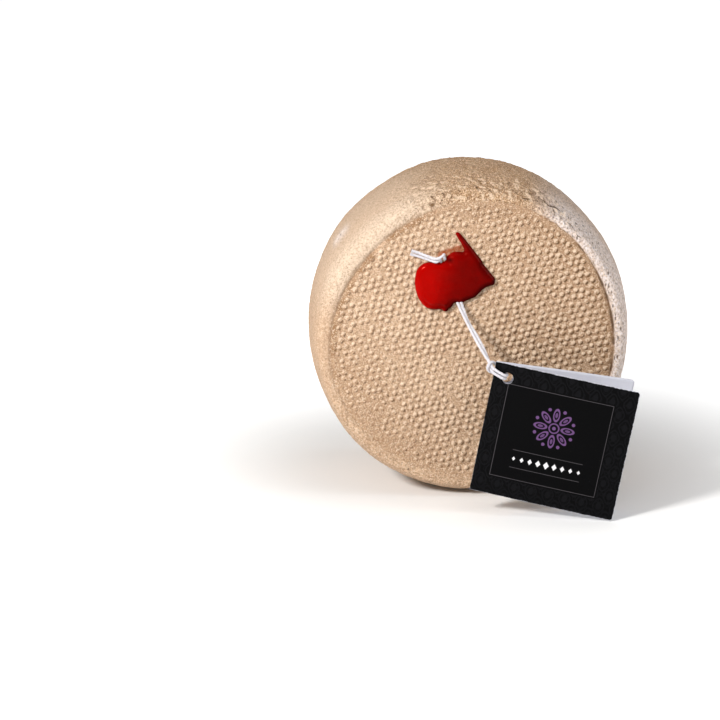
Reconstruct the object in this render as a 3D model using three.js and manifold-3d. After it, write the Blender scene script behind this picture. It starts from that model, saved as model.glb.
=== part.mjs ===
// A small wheel of pecorino that stands on its rim. Its front face carries a poured blot of red
// sealing wax, the wax holds a doubled white string, and the string is hitched through the hole
// of a folded card tag that stands on its lower right corners, a little in front of the cheese.
//
// Millimetres, +Z up. The wheel's axis lies along Y and its front face looks towards -Y. The
// origin is the middle of the small flat spot on which the wheel stands.

import * as THREE from "three";
import { mergeVertices } from "three/addons/utils/BufferGeometryUtils.js";
import Module from "manifold-3d";

const wasm = await Module();
wasm.setup();

const degrees = Math.PI / 180;

// ---- Driving dimensions ----

const pieceGap = 0.3; // kept between pieces that touch

// The wheel
const wheelRadius = 72.5; // at the belly, half way across the rim
const wheelThickness = 78; // from lip to lip
const restFlat = 0.6; // how far its own weight has pressed the rim flat where it stands
const bellyRoundness = 0.84; // 1 makes the rim's section half an ellipse, and less makes it squarer
const faceRadius = 62.4; // of the round that the basket pressed
const faceSink = 0.9; // of the pressed face, below the lip
const grooveWidth = 2.4; // of the crease round the face
const grooveDepth = 0.8; // of the crease, below the face
const lipWidth = 2.6; // from the crease to the top of the lip
const turnSteps = 96;
const rimSteps = 21;

// Unevenness of a cheese turned by hand: each wave has so many lobes round the wheel, a size in
// millimetres and the angle of one crest, from +X towards +Z.
const faceEdgeWaves = [
  { lobes: 1, size: 1.7, crest: -11 },
  { lobes: 2, size: 0.7, crest: 40 },
  { lobes: 3, size: 1.2, crest: 75 },
];
const rimWaves = [
  { lobes: 2, size: 0.3, crest: 100 },
  { lobes: 5, size: 0.25, crest: 20 },
  { lobes: 9, size: 0.15, crest: 65 },
];
const lipWaves = [
  { lobes: 3, size: 0.35, crest: 150 },
  { lobes: 7, size: 0.2, crest: 30 },
];

// The wax: its outline on the front face, clockwise from the tip of the drawn-out thread, as
// [right, up] from the wheel's centre
const waxThickness = 2.6;
const waxRounding = 0.5; // of its edge
const waxSteps = 3; // of the curve, from one point of the outline to the next
const waxOutline = [
  [-5.9, 50.0],
  [-0.7, 43.6],
  [5.6, 35.3],
  [9.9, 29.2],
  [9.9, 26.8],
  [5.6, 24.4],
  [2.4, 21.5],
  [-0.8, 19.3],
  [-6.4, 19.0],
  [-8.2, 16.2],
  [-10.9, 14.3],
  [-14.0, 14.9],
  [-19.3, 15.6],
  [-22.4, 18.6],
  [-24.3, 23.0],
  [-24.8, 28.7],
  [-23.6, 33.2],
  [-20.2, 35.9],
  [-15.8, 34.6],
  [-11.8, 38.2],
  [-8.0, 40.8],
  [-3.4, 41.2],
  [-7.2, 49.4],
];

// The string
const stringDiameter = 1.2;
const stringSides = 8;

// Its route, from the wax down to the tag and back up to the wax. It goes twice through the
// punched hole and once round its own two strands, as a hitch does.
const stringRoute = [
  // down from the wax
  [-5.9, -39.4, 89.8],
  [-2.6, -45.8, 83.8],
  [1.0, -51.4, 77.6],
  [4.6, -57.2, 72.2],
  // through the bight
  [7.9, -62.5, 68.0],
  [8.4, -63.9, 67.3],
  // over the front leaf
  [9.4, -64.8, 66.5],
  [10.8, -65.2, 65.6],
  [12.2, -65.4, 64.8],
  [13.6, -65.3, 64.0],
  // through the hole
  [14.5, -64.2, 63.7],
  [14.8, -62.7, 63.6],
  [14.5, -61.2, 63.8],
  // behind the back leaf
  [13.5, -60.7, 64.6],
  [12.3, -61.0, 65.7],
  [11.1, -61.2, 66.8],
  [9.9, -61.5, 67.9],
  // the bight, round the two strands
  [8.9, -62.1, 69.0],
  [7.8, -63.1, 69.4],
  [6.7, -63.4, 68.3],
  [6.3, -62.9, 66.7],
  [6.9, -62.2, 65.3],
  // behind the back leaf again
  [8.3, -61.8, 64.5],
  [9.8, -61.4, 63.9],
  [11.3, -61.1, 63.4],
  [12.8, -60.8, 62.8],
  // back through the hole
  [13.9, -61.5, 62.3],
  [14.1, -62.9, 62.2],
  [13.7, -64.4, 62.3],
  // over the front leaf
  [12.7, -65.4, 62.8],
  [11.3, -65.3, 63.6],
  [9.9, -65.1, 64.4],
  [8.7, -64.6, 65.2],
  // through the bight, and up to the wax
  [8.0, -63.3, 66.0],
  [7.7, -61.8, 66.6],
  [5.8, -56.4, 71.6],
  [2.2, -50.8, 77.9],
  [-1.7, -44.9, 83.4],
  [-4.4, -39.4, 90.1],
];
const stringSteps = 79;

// Its two cut ends, which stick out of the wax at the upper left, kink and lie to the left
const tailRoutes = [
  [
    [-12.3, -39.4, 111.2],
    [-12.2, -40.9, 112.0],
    [-13.2, -42.0, 111.4],
    [-15.4, -41.9, 110.4],
    [-19.4, -40.9, 111.3],
    [-23.0, -40.3, 112.6],
    [-26.4, -40.6, 113.7],
  ],
  [
    [-14.0, -39.4, 109.6],
    [-14.2, -40.6, 109.4],
    [-15.6, -41.2, 108.9],
    [-17.6, -40.6, 109.3],
    [-20.6, -40.0, 110.2],
    [-23.6, -39.8, 111.2],
    [-26.9, -40.2, 112.1],
  ],
];
const tailSteps = 12;

// The tag: a card folded once, like a greeting card, with its spine on the left
const tagWidth = 63;
const tagHeight = 59;
const cardThickness = 0.5;
const spineDepth = 1; // outside, from the front leaf to the back leaf
const tagOpening = 18 * degrees; // between its leaves
const holeRadius = 2.5;
const holeInset = 5.9; // of the hole's centre, from the spine
const holeDrop = 6.3; // of the hole's centre, below the top edge
const standingCorner = new THREE.Vector3(60.8, -72.8, 0.4); // the front leaf's lower right corner
const tagYaw = -8.5 * degrees; // its right side turned towards the viewer
const tagRoll = 10.5 * degrees; // its right side down
const tagLean = -1.5 * degrees;

// ---- Colours ----

const rind = { color: 0xd0a982, roughness: 0.8, metalness: 0 };
const wax = { color: 0x9a0603, roughness: 0.18, metalness: 0 };
const cotton = { color: 0xf3f0ee, roughness: 0.9, metalness: 0 };
const card = { color: 0x0d0c0d, roughness: 0.45, metalness: 0 };

// ---- Worked out from them ----

const centreHeight = wheelRadius - restFlat;
const lipPlane = wheelThickness / 2; // distance of each lip from the middle of the rim
const facePlane = lipPlane - faceSink;
const lipRadius = faceRadius + lipWidth;

// ---- Helpers ----

function meshOf(name, geometry, finish) {
  const mesh = new THREE.Mesh(geometry, new THREE.MeshStandardMaterial(finish));
  mesh.name = name;
  return mesh;
}

function closedSolid(geometry) {
  const bare = geometry.clone();
  bare.deleteAttribute("normal");
  bare.deleteAttribute("uv");
  const merged = mergeVertices(bare, 1e-4);
  return new wasm.Manifold(
    new wasm.Mesh({
      numProp: 3,
      vertProperties: merged.attributes.position.array,
      triVerts: new Uint32Array(merged.index.array),
    }),
  );
}

function geometryOf(solid) {
  const { vertProperties, triVerts } = solid.getMesh();
  const geometry = new THREE.BufferGeometry();
  geometry.setAttribute("position", new THREE.BufferAttribute(vertProperties, 3));
  geometry.setIndex(new THREE.BufferAttribute(triVerts, 1));
  return geometry;
}

function vectors(points) {
  return points.map((point) => new THREE.Vector3(...point));
}

// A round section with its flats turned so that the tube is as wide as it is high
function roundSection(radius, sides) {
  const corners = [];
  for (let i = 0; i < sides; i += 1) {
    const angle = ((i + 0.5) / sides) * 2 * Math.PI;
    corners.push(new THREE.Vector2(radius * Math.cos(angle), radius * Math.sin(angle)));
  }
  return new THREE.Shape(corners);
}

function stringAlong(route, steps) {
  return new THREE.ExtrudeGeometry(roundSection(stringDiameter / 2, stringSides), {
    steps,
    bevelEnabled: false,
    extrudePath: new THREE.CatmullRomCurve3(vectors(route), false, "centripetal"),
  });
}

function sumOfWaves(waves, angle) {
  return waves.reduce(
    (sum, wave) => sum + wave.size * Math.cos(wave.lobes * (angle - wave.crest * degrees)),
    0,
  );
}

// ---- The wheel ----

// One side of the section, from the axis out to the lip, as [radius, distance from the middle]
function sideProfile() {
  const crease = facePlane - grooveDepth;
  return [
    [0, facePlane],
    [faceRadius / 3, facePlane],
    [(2 * faceRadius) / 3, facePlane],
    [faceRadius - grooveWidth, facePlane],
    [faceRadius - grooveWidth / 2, (facePlane + crease) / 2],
    [faceRadius, crease],
    [faceRadius + lipWidth / 3, facePlane],
    [lipRadius, lipPlane],
  ];
}

// The whole section from the front of the axis to its back, with a barrel's belly between
function rindProfile() {
  const side = sideProfile();
  const points = side.map(([radius, depth]) => new THREE.Vector2(radius, -depth));
  for (let i = 1; i < rimSteps; i += 1) {
    const turn = (i / rimSteps) * Math.PI;
    const belly = (wheelRadius - lipRadius) * Math.sin(turn) ** bellyRoundness;
    points.push(new THREE.Vector2(lipRadius + belly, -lipPlane * Math.cos(turn)));
  }
  return points.concat(side.reverse().map(([radius, depth]) => new THREE.Vector2(radius, depth)));
}

// Moves one point of the even wheel to where the uneven one has it
function makeUneven(point) {
  const angle = Math.atan2(point.z, point.x);
  const radius = Math.hypot(point.x, point.z);
  const inside = Math.min(1, radius / faceRadius) ** 2;
  const outside = Math.min(1, (wheelRadius - radius) / (wheelRadius - faceRadius)) ** 2;
  const onLip = THREE.MathUtils.smoothstep(radius, faceRadius, lipRadius) * outside;
  const onRim = THREE.MathUtils.smoothstep(radius, faceRadius, wheelRadius);
  const shift =
    sumOfWaves(faceEdgeWaves, angle) * Math.min(inside, outside) +
    sumOfWaves(rimWaves, angle) * onRim;
  const stretch = radius > 0 ? (radius + shift) / radius : 1;
  point.x *= stretch;
  point.z = Math.max(point.z * stretch, -centreHeight);
  point.y -= Math.sign(point.y) * Math.abs(sumOfWaves(lipWaves, angle)) * onLip;
}

function makeWheel() {
  const geometry = new THREE.LatheGeometry(rindProfile(), turnSteps, Math.PI / turnSteps);
  const positions = geometry.attributes.position;
  const point = new THREE.Vector3();
  for (let i = 0; i < positions.count; i += 1) {
    point.fromBufferAttribute(positions, i);
    makeUneven(point);
    positions.setXYZ(i, point.x, point.y, point.z);
  }
  const wheel = meshOf("wheel", geometry, rind);
  wheel.position.z = centreHeight;
  return wheel;
}

// ---- The wax ----

function makeWax() {
  const rounded = new THREE.CatmullRomCurve3(
    waxOutline.map(([right, up]) => new THREE.Vector3(right, up, 0)),
    true,
    "centripetal",
  );
  const outline = rounded
    .getPoints(waxOutline.length * waxSteps)
    .map((point) => new THREE.Vector2(point.x, point.y));
  outline.pop();
  const blot = new THREE.ExtrudeGeometry(new THREE.Shape(outline.reverse()), {
    depth: waxThickness - waxRounding,
    bevelThickness: waxRounding,
    bevelSize: waxRounding,
    bevelOffset: -waxRounding,
    bevelSegments: 3,
  });
  // Its back is flat on the face, so the rounding there is cut off.
  const behind = new THREE.BoxGeometry(100, 100, 2 * waxThickness);
  behind.translate(0, 30, -waxThickness);
  const seal = meshOf("wax_seal", geometryOf(closedSolid(blot).subtract(closedSolid(behind))), wax);
  seal.rotation.x = 90 * degrees;
  seal.position.set(0, -facePlane - pieceGap, centreHeight);
  return seal;
}

// ---- The string ----

function makeString() {
  return meshOf("string", stringAlong(stringRoute, stringSteps), cotton);
}

function makeTail(route, number) {
  return meshOf(`string_tail_${number}`, stringAlong(route, tailSteps), cotton);
}

// ---- The tag ----

// The folded card seen from above: the front leaf lies along X, and the back leaf opens behind it
function foldedSection() {
  const along = new THREE.Vector2(Math.cos(tagOpening), Math.sin(tagOpening));
  const inwards = new THREE.Vector2(Math.sin(tagOpening), -Math.cos(tagOpening));
  const backSpine = new THREE.Vector2(0, spineDepth);
  const backEnd = backSpine.clone().addScaledVector(along, tagWidth);
  const backEndInside = backEnd.clone().addScaledVector(inwards, cardThickness);
  const foldInside = new THREE.Vector2(cardThickness * Math.tan(tagOpening / 2), cardThickness);
  const section = new THREE.Shape();
  section.moveTo(0, 0);
  section.lineTo(tagWidth, 0);
  section.lineTo(tagWidth, cardThickness);
  section.lineTo(foldInside.x, foldInside.y);
  section.lineTo(backEndInside.x, backEndInside.y);
  section.lineTo(backEnd.x, backEnd.y);
  section.lineTo(backSpine.x, backSpine.y);
  section.absarc(0, spineDepth / 2, spineDepth / 2, Math.PI / 2, 1.5 * Math.PI, false);
  return section;
}

function makeTag() {
  const leaves = new THREE.ExtrudeGeometry(foldedSection(), {
    depth: tagHeight,
    bevelEnabled: false,
    curveSegments: 6,
  });
  leaves.translate(0, 0, -tagHeight);
  const punch = new THREE.CylinderGeometry(holeRadius, holeRadius, 20, 24);
  punch.translate(holeInset, 0, -holeDrop);
  const tag = meshOf("tag", geometryOf(closedSolid(leaves).subtract(closedSolid(punch))), card);
  tag.position.set(-tagWidth, 0, tagHeight);
  const stand = new THREE.Group();
  stand.position.copy(standingCorner);
  stand.rotation.set(tagLean, tagRoll, tagYaw, "ZYX");
  stand.add(tag);
  return stand;
}

// ---- The whole ----

const pecorino = new THREE.Group();
pecorino.add(makeWheel(), makeWax(), makeString());
tailRoutes.forEach((route, i) => pecorino.add(makeTail(route, i + 1)));
pecorino.add(makeTag());

export default pecorino;
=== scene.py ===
# %% [markdown]
# # A small wheel of pecorino with its seal and tag
#
# The wheel stands on its rim. A basket has pressed small round bumps into both faces, and age has
# given the rind its dry tan skin. On the front a blot of red sealing wax holds a doubled cotton
# string, and the string is hitched through the punched hole of a folded black card. The solids
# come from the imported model, which fixes every size and place. This script only dresses them.

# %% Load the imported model
import math

import bpy
import numpy as np
from mathutils import Euler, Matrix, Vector
from mathutils.geometry import delaunay_2d_cdt


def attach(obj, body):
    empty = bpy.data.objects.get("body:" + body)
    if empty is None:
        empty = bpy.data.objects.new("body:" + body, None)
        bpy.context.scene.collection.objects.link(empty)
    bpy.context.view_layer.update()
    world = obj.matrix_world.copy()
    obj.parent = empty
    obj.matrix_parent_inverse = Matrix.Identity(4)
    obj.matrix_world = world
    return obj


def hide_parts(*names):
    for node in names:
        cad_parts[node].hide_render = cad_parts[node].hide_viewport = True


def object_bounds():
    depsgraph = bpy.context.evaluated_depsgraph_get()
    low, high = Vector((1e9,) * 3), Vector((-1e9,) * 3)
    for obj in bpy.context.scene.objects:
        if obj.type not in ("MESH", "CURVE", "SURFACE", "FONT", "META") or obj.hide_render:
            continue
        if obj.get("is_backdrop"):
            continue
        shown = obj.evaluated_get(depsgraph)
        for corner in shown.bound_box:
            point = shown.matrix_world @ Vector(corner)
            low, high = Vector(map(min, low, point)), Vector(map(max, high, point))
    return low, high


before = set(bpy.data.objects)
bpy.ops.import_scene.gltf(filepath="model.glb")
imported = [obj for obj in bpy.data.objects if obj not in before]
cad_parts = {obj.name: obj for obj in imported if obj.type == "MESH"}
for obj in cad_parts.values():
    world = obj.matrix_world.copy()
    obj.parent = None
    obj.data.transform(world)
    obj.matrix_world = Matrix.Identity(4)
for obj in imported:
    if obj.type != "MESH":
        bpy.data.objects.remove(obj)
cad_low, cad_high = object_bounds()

MM = 0.001
BODY = "root"
scene = bpy.context.scene
print("solids:", ", ".join(sorted(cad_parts)))

# %% [markdown]
# ## The camera
#
# The view is a long lens from a little above, so the circle of the face hardly narrows and the
# rim shows along the top. The camera is set first, because it decides how fine each piece has to
# be: one millimetre of cheese is about four pixels here.

# %% Camera
SENSOR_WIDTH = 36
LENS = 120.23
CAMERA_PLACE = (-48.9, -1067.1, 339.4)
CAMERA_TILT = math.radians(75)  # 0 would look straight down

camera_data = bpy.data.cameras.new("camera")
camera_data.sensor_width = SENSOR_WIDTH
camera_data.lens = LENS
camera_data.clip_end = 20
camera = bpy.data.objects.new("camera", camera_data)
camera.location = Vector(CAMERA_PLACE) * MM
camera.rotation_euler = Euler((CAMERA_TILT, 0, 0))
scene.collection.objects.link(camera)
scene.camera = camera
print("camera", [round(c, 3) for c in camera.location])

# %% [markdown]
# ## From points to pieces
#
# Most pieces here are worked out as lists of points in millimetres, so one helper turns such a
# list into a smooth-shaded mesh in metres. A modeller could start from primitives in edit mode
# instead, but a list of points keeps every size a number that can be read.


# %% Helpers for meshes and distances
def mesh_piece(name, points, faces):
    mesh = bpy.data.meshes.new(name)
    mesh.from_pydata((np.asarray(points) * MM).tolist(), [], faces)
    mesh.shade_smooth()
    piece = bpy.data.objects.new(name, mesh)
    scene.collection.objects.link(piece)
    return piece


def stands_for(piece, slot, *nodes):
    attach(piece, BODY)
    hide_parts(*nodes)
    print(f"{piece.name}: {len(piece.data.polygons)} faces in place of {', '.join(nodes)}")


def smoothstep(value, low, high):
    share = np.clip((value - low) / (high - low), 0, 1)
    return share * share * (3 - 2 * share)


def bell(distance, width):
    """1 at no distance, and a soft fall to nearly 0 at twice the width."""
    return np.exp(-((distance / width) ** 2))


def lengths(vectors):
    return np.linalg.norm(vectors, axis=1)


def from_stretch(points, start, run):
    """How far each point is from a straight stretch."""
    share = np.clip((points - start) @ run / (run @ run), 0, 1)
    return lengths(points - start - share[:, None] * run)


print("helpers for meshes and distances are ready")

# %% [markdown]
# ## The string's route
#
# The string is one soft cotton cord. It leaves the wax, runs down to the tag, goes through the
# hole, round its own two strands and back through the hole, and then climbs to the wax again: a
# lark's head hitch. The route is a list of points, in the order in which the cord is threaded. A
# centripetal curve through them rounds every turn without loops or kinks, which Blender's own
# handles would need setting one by one.

# %% Route of the string and of its two cut ends
STRING_DIAMETER = 1.2
STRING_ROUTE = [
    # down from the wax
    (-5.9, -39.4, 89.8),
    (-2.6, -45.8, 83.8),
    (1.0, -51.4, 77.6),
    (4.6, -57.2, 72.2),
    # through the bight
    (7.9, -62.5, 68.0),
    (8.4, -63.9, 67.3),
    # over the front leaf
    (9.4, -64.8, 66.5),
    (10.8, -65.2, 65.6),
    (12.2, -65.4, 64.8),
    (13.6, -65.3, 64.0),
    # through the hole
    (14.5, -64.2, 63.7),
    (14.8, -62.7, 63.6),
    (14.5, -61.2, 63.8),
    # behind the back leaf
    (13.5, -60.7, 64.6),
    (12.3, -61.0, 65.7),
    (11.1, -61.2, 66.8),
    (9.9, -61.5, 67.9),
    # the bight, round the two strands
    (8.9, -62.1, 69.0),
    (7.8, -63.1, 69.4),
    (6.7, -63.4, 68.3),
    (6.3, -62.9, 66.7),
    (6.9, -62.2, 65.3),
    # behind the back leaf again
    (8.3, -61.8, 64.5),
    (9.8, -61.4, 63.9),
    (11.3, -61.1, 63.4),
    (12.8, -60.8, 62.8),
    # back through the hole
    (13.9, -61.5, 62.3),
    (14.1, -62.9, 62.2),
    (13.7, -64.4, 62.3),
    # over the front leaf
    (12.7, -65.4, 62.8),
    (11.3, -65.3, 63.6),
    (9.9, -65.1, 64.4),
    (8.7, -64.6, 65.2),
    # through the bight, and up to the wax
    (8.0, -63.3, 66.0),
    (7.7, -61.8, 66.6),
    (5.8, -56.4, 71.6),
    (2.2, -50.8, 77.9),
    (-1.7, -44.9, 83.4),
    (-4.4, -39.4, 90.1),
]
TAIL_ROUTES = [
    [
        (-12.3, -39.4, 111.2),
        (-12.2, -40.9, 112.0),
        (-13.2, -42.0, 111.4),
        (-15.4, -41.9, 110.4),
        (-19.4, -40.9, 111.3),
        (-23.0, -40.3, 112.6),
        (-26.4, -40.6, 113.7),
    ],
    [
        (-14.0, -39.4, 109.6),
        (-14.2, -40.6, 109.4),
        (-15.6, -41.2, 108.9),
        (-17.6, -40.6, 109.3),
        (-20.6, -40.0, 110.2),
        (-23.6, -39.8, 111.2),
        (-26.9, -40.2, 112.1),
    ],
]

# Inside the wax each cord goes on a little, so that no gap shows where it comes out.
STRING_ROOTS = [(-6.5, -39.0, 91.4), (-5.2, -39.0, 91.8)]
TAIL_ROOTS = [(-11.6, -39.0, 109.4), (-13.3, -39.0, 108.3)]
CURVE_STEPS = 16  # from each point of a route to the next
CORD_STEP = 0.3  # between the rings of a cord's mesh


def between(a, b, t, start, end):
    return a + (b - a) * (t - start) / (end - start)


def curve_through(padded):
    """Fine points on a centripetal curve from the second of the corners to the last but one."""
    strides = lengths(np.diff(padded, axis=0)) ** 0.5
    knots = np.concatenate([[0], np.cumsum(strides)])
    fine = []
    for i in range(len(padded) - 3):
        p, k = padded[i : i + 4], knots[i : i + 4]
        t = np.linspace(k[1], k[2], CURVE_STEPS, endpoint=False)[:, None]
        a = [between(p[j], p[j + 1], t, k[j], k[j + 1]) for j in range(3)]
        b = [between(a[j], a[j + 1], t, k[j], k[j + 2]) for j in range(2)]
        fine.append(between(b[0], b[1], t, k[1], k[2]))
    return np.vstack([*fine, padded[-2]])


def distance_walked(line):
    return np.concatenate([[0], np.cumsum(lengths(np.diff(line, axis=0)))])


def evenly(line, spacing):
    walked = distance_walked(line)
    places = np.linspace(0, walked[-1], round(walked[-1] / spacing) + 1)
    return np.column_stack([np.interp(places, walked, column) for column in line.T])


def smooth_line(*route):
    corners = np.array(route, float)
    before, after = 2 * corners[0] - corners[1], 2 * corners[-1] - corners[-2]
    return evenly(curve_through(np.vstack([before, corners, after])), CORD_STEP)


string_line = smooth_line(STRING_ROOTS[0], *STRING_ROUTE, STRING_ROOTS[1])
tail_lines = [smooth_line(root, *route) for root, route in zip(TAIL_ROOTS, TAIL_ROUTES)]

# %% [markdown]
# ## Twisted cotton
#
# Up close the string is three plies laid round each other. Three separate tubes would hide most
# of their surface inside one another, so one tube is made instead, with a section of three lobes
# that turns as it goes along. The creases between the lobes then wind round the cord as the gaps
# between real plies do, and the mesh stays one closed skin.

# %% Twisted cord
PLIES = 3
LAY_LENGTH = 4.6  # along the cord, for one turn of a ply
CREASE_DEPTH = 0.26  # of the radius
FLUFF = 1.08  # how much further than its measured size the loose cotton stands out
FRAYED = 2.5  # length of an open end along which the plies spring apart
FRAYED_WIDER = 0.16
FRAYED_DEEPER = 1.1
CORD_SIDES = 24
NEVER_ALONG = (0.31, 0.87, 0.38)  # a direction that no cord starts in


def carried_frames(line):
    """Two directions square to the line at each of its points, carried along without spin."""
    forward = np.gradient(line, axis=0)
    forward /= lengths(forward)[:, None]
    side = np.cross(forward[0], NEVER_ALONG)
    sides = []
    for direction in forward:
        side = side - direction * side.dot(direction)
        side /= np.linalg.norm(side)
        sides.append(side)
    sides = np.array(sides)
    return sides, np.cross(forward, sides)


def twisted_cord(name, line, open_end=False):
    """A closed mesh of the cord. An open end is cut off, and its plies spring apart a little."""
    walked = distance_walked(line)
    steps = len(line)
    side, up = carried_frames(line)
    spring = smoothstep(walked, walked[-1] - FRAYED, walked[-1]) if open_end else np.zeros(steps)
    around = np.arange(CORD_SIDES) * 2 * np.pi / CORD_SIDES
    lobe = np.abs(np.cos(PLIES / 2 * around))
    widest = STRING_DIAMETER / 2 * (FLUFF + FRAYED_WIDER * spring)
    crease = CREASE_DEPTH * (1 + FRAYED_DEEPER * spring)
    out = widest[:, None] * (1 - crease[:, None] * (1 - lobe) ** 1.5)
    turn = around + walked[:, None] * 2 * np.pi / LAY_LENGTH
    sideways = (out * np.cos(turn))[..., None] * side[:, None]
    upwards = (out * np.sin(turn))[..., None] * up[:, None]
    points = (line[:, None] + sideways + upwards).reshape(-1, 3)
    ring = np.arange(CORD_SIDES)
    beside = (ring + 1) % CORD_SIDES
    faces = [list(ring[::-1])]
    for i in range(steps - 1):
        here, ahead = i * CORD_SIDES, (i + 1) * CORD_SIDES
        quads = [here + ring, here + beside, ahead + beside, ahead + ring]
        faces += np.column_stack(quads).tolist()
    faces.append(list((steps - 1) * CORD_SIDES + ring))
    return mesh_piece(name, points, faces)


string = twisted_cord("cotton_string", string_line)
tails = [
    twisted_cord(f"cotton_tail_{i + 1}", line, open_end=True) for i, line in enumerate(tail_lines)
]
stands_for(string, "cotton", "string")
for i, tail in enumerate(tails):
    stands_for(tail, "cotton", f"string_tail_{i + 1}")

# %% [markdown]
# ## The wheel's own shape
#
# The wheel is turned like a pot: a section goes round the axis. A plain lathe would crowd its
# points at the middle of each face and leave long thin quads at the edge, so each face here is a
# square grid bent into a disc instead, in which every ring of the square becomes a circle. The
# quads stay about as large everywhere, and the outer ring is the rim's first ring. The sizes and
# the unevenness are those of the solid.

# %% Even wheel: two discs and a rim
WHEEL_RADIUS = 72.5
LIP_PLANE = 39
REST_FLAT = 0.6
CENTRE_HEIGHT = WHEEL_RADIUS - REST_FLAT
BELLY_ROUNDNESS = 0.84
FACE_RADIUS = 62.4
FACE_SINK = 0.9
FACE_PLANE = LIP_PLANE - FACE_SINK
GROOVE_DEPTH = 0.9
GROOVE_WIDTH = 0.85
LIP_RADIUS = 65
LIP_RISE = 1.3  # how far the step up from the crease to the lip takes
RINGS = 150
RIM_ROWS = 116
ROW_CROWDING = 1.3  # above 1, the rim's rows stand closer together towards the front
SECTION_STEPS = 4000  # along the rim's section, from which the rows are spaced


def disc_grid(rings):
    """Ring number and angle of each point of a square grid that is bent into a disc."""
    across, up = np.meshgrid(*[np.arange(-rings, rings + 1)] * 2, indexing="ij")
    ring = np.maximum(abs(across), abs(up))
    wide = abs(across) >= abs(up)
    longer = np.where(wide, across, up)
    longer = np.where(longer == 0, 1, longer)
    shorter = np.where(wide, up, -across)
    turn = np.pi / 4 * shorter / longer + np.where(wide, 0, np.pi / 2)
    return ring.ravel(), (turn + np.where(longer < 0, np.pi, 0)).ravel()


def grid_faces(across, along, closed=False):
    """Quads between neighbours of a grid of numbered points, counted along first."""
    numbers = np.arange(across * along).reshape(across, along)
    if closed:
        numbers = np.hstack([numbers, numbers[:, :1]])
    corners = [numbers[:-1, :-1], numbers[1:, :-1], numbers[1:, 1:], numbers[:-1, 1:]]
    return np.stack(corners, axis=-1).reshape(-1, 4)


def belly(turn):
    return LIP_RADIUS + (WHEEL_RADIUS - LIP_RADIUS) * np.sin(turn) ** BELLY_ROUNDNESS


def even_wheel():
    """Radius, angle and distance from the middle plane of each point, and the faces."""
    ring, angle = disc_grid(RINGS)
    disc_radius = ring / RINGS * LIP_RADIUS
    edge = np.flatnonzero(ring == RINGS)
    edge = edge[np.argsort(np.mod(angle[edge], 2 * np.pi))]
    turn = np.linspace(0, np.pi, SECTION_STEPS)
    section = np.column_stack([belly(turn), -LIP_PLANE * np.cos(turn)])
    walked = distance_walked(section)
    row_places = np.linspace(0, 1, RIM_ROWS + 2)[1:-1] ** ROW_CROWDING * walked[-1]
    turn = np.interp(row_places, walked, turn)
    around = np.mod(angle[edge], 2 * np.pi)
    rim_radius = np.repeat(belly(turn), len(around))
    rim_depth = np.repeat(-LIP_PLANE * np.cos(turn), len(around))
    rim_angle = np.tile(around, RIM_ROWS)
    count = len(ring)
    radius = np.concatenate([disc_radius, disc_radius, rim_radius])
    angles = np.concatenate([angle, angle, rim_angle])
    depth = np.concatenate([np.full(count, -LIP_PLANE), np.full(count, LIP_PLANE), rim_depth])
    side = 2 * RINGS + 1
    front = grid_faces(side, side)
    back = front[:, ::-1] + count
    strip = grid_faces(RIM_ROWS + 2, len(around), closed=True)
    rows = [edge, *np.arange(len(rim_radius)).reshape(RIM_ROWS, -1) + 2 * count, edge + count]
    rim = np.concatenate(rows)[strip]
    return radius, np.angle(np.exp(1j * angles)), depth, np.vstack([front, rim, back])


radius, angle, depth, wheel_faces = even_wheel()
print("even wheel:", len(radius), "points,", len(wheel_faces), "quads")

# %% [markdown]
# ## Unevenness
#
# No cheese is a true disc. Slow waves round the wheel move the edge of each face, the rim and the
# lip, as in the solid. The crease between face and rim is deep at the right, a soft channel at
# the upper left, and dies away at the top and the bottom, where the basket's edge hardly
# touched. Its depth is read from a few angles and eased between them.

# %% Uneven wheel
FACE_EDGE_WAVES = [(1, 1.7, -11), (2, 0.7, 40), (3, 1.2, 75)]
RIM_WAVES = [(2, 0.3, 100), (5, 0.25, 20), (9, 0.15, 65)]
LIP_WAVES = [(3, 0.35, 150), (7, 0.2, 30)]
# Degrees from the right, anticlockwise, and the share of the crease's full depth there
CREASE_ANGLES = [-180, -150, -125, -95, -60, -20, 30, 50, 68, 90, 108, 125, 165, 180]
CREASE_SHARES = [0.6, 0.35, 0.12, 0.1, 0.55, 1.0, 1.1, 0.8, 0.2, 0.05, 0.3, 0.8, 0.8, 0.6]
BACK_CREASE_SHARE = 0.8
LEAST_LIP = 0.55  # share of the lip's height that is left where the crease is shallow
ROUNDED_PAST_LIP = 4


def sum_of_waves(waves, angle):
    return sum(size * np.cos(lobes * (angle - np.radians(crest))) for lobes, size, crest in waves)


def crease_share(angle, depth):
    share = np.interp(np.degrees(angle), CREASE_ANGLES, CREASE_SHARES)
    return np.where(depth > 0, BACK_CREASE_SHARE, share)


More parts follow.
